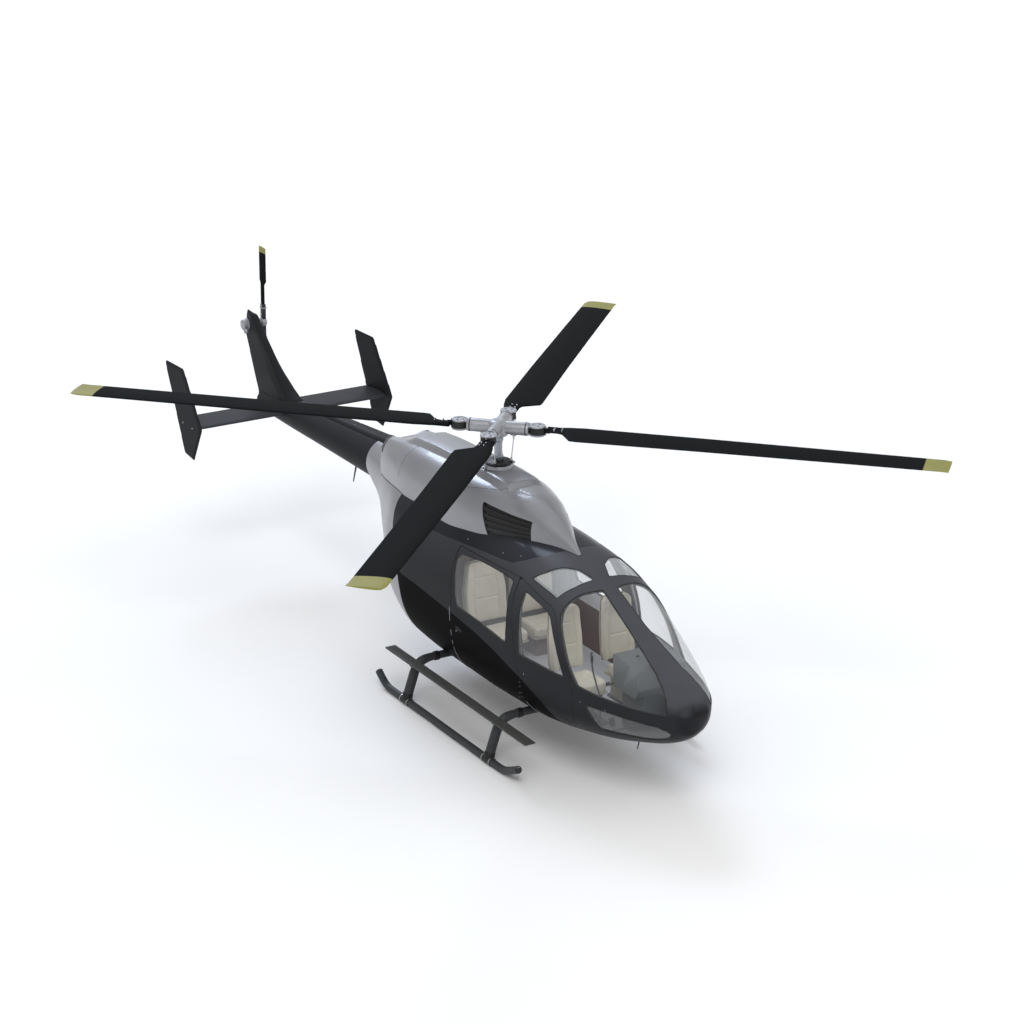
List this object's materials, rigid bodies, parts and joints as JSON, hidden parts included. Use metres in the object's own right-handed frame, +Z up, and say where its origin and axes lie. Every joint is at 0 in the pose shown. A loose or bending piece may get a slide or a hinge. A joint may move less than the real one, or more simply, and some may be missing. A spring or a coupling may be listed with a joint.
{
  "type": "helicopter",
  "caption": "Light helicopter with a main rotor over a glazed cabin, hinged doors, a tail boom with stabilizer, fin and tail rotor, and skid landing gear.",
  "frame": {"origin": "on the ground under the skids, midway along the whole length and on the centre plane", "axes": "+Z up, +Y towards the tail, the nose points along -Y, the starboard side is -X"},
  "size_m": [8.3498, 11.6661, 4.1499],
  "materials": {
    "charcoal": "gloss charcoal paint",
    "tail_charcoal": "satin charcoal paint on composite",
    "silver": "satin silver-grey paint",
    "blade_black": "matt black composite",
    "hub_metal": "satin light grey metal",
    "dark_metal": "satin dark grey paint",
    "engine_metal": "cast metal",
    "glass": "clear moulded glazing",
    "seat_cream": "cream upholstery",
    "grey_trim": "matt grey trim",
    "cabin_lining": "cream cabin lining",
    "carpet": "brown carpet"
  },
  "bodies": {
    "airframe": {"cabin_shell": "charcoal", "door_pillar_right": "charcoal", "door_pillar_left": "charcoal", "tail_boom": "charcoal", "vertical_fin": "tail_charcoal", "stabilizer": "tail_charcoal", "aft_fuselage": "silver", "cowling": "silver", "belly_antenna": "blade_black", "boom_antenna": "blade_black", "intake_grille_right": "blade_black", "intake_grille_left": "blade_black", "swashplate_fixed": "hub_metal", "tail_gearbox": "hub_metal", "exhaust_right": "dark_metal", "exhaust_left": "dark_metal", "skid_right": "dark_metal", "skid_left": "dark_metal", "cross_tube_front": "dark_metal", "cross_tube_rear": "dark_metal", "step_right": "dark_metal", "step_left": "dark_metal", "control_stick_right": "dark_metal", "control_stick_left": "dark_metal", "engine_block": "engine_metal", "main_gearbox": "engine_metal", "windshield_right": "glass", "windshield_left": "glass", "skylight_right": "glass", "skylight_left": "glass", "chin_window_right": "glass", "chin_window_left": "glass", "front_seat_right": "seat_cream", "front_seat_left": "seat_cream", "rear_seat_right": "seat_cream", "rear_seat_left": "seat_cream", "instrument_panel": "grey_trim", "rear_bulkhead": "cabin_lining", "cabin_floor": "carpet"},
    "main_rotor": {"rotor_mast": "hub_metal", "rotor_hub": "hub_metal", "swashplate_turning": "dark_metal", "main_blade_1": "blade_black", "main_blade_2": "blade_black", "main_blade_3": "blade_black", "main_blade_4": "blade_black"},
    "tail_rotor": {"tail_rotor_mast": "hub_metal", "tail_rotor_hub": "hub_metal", "tail_blade_1": "blade_black", "tail_blade_2": "blade_black"},
    "front_door_right": {"front_door_right": "charcoal", "front_door_window_right": "glass"},
    "front_door_left": {"front_door_left": "charcoal", "front_door_window_left": "glass"},
    "rear_door_right": {"rear_door_right": "charcoal", "rear_door_window_right": "glass"},
    "rear_door_left": {"rear_door_left": "charcoal", "rear_door_window_left": "glass"}
  },
  "joints": [
    {"name": "main_rotor_spin", "type": "hinge", "parent": "airframe", "child": "main_rotor", "pos_m": [0, -1.333, 3.54], "axis": [0, 0, 1], "continuous": true},
    {"name": "tail_rotor_spin", "type": "hinge", "parent": "airframe", "child": "tail_rotor", "pos_m": [0.2, 5.657, 3.04], "axis": [1, 0, 0], "continuous": true},
    {"name": "front_door_right_hinge", "type": "hinge", "parent": "airframe", "child": "front_door_right", "pos_m": [-0.7839, -4.393, 1.3], "axis": [0, 0, 1], "range_deg": [0, 80]},
    {"name": "front_door_left_hinge", "type": "hinge", "parent": "airframe", "child": "front_door_left", "pos_m": [0.7839, -4.393, 1.3], "axis": [0, 0, -1], "range_deg": [0, 80]},
    {"name": "rear_door_right_hinge", "type": "hinge", "parent": "airframe", "child": "rear_door_right", "pos_m": [-0.89, -3.3669, 1.3], "axis": [0, 0, 1], "range_deg": [0, 80]},
    {"name": "rear_door_left_hinge", "type": "hinge", "parent": "airframe", "child": "rear_door_left", "pos_m": [0.89, -3.3669, 1.3], "axis": [0, 0, -1], "range_deg": [0, 80]}
  ],
  "couplings": [
    {"joint": "tail_rotor_spin", "follows": "main_rotor_spin", "ratio": 6}
  ]
}
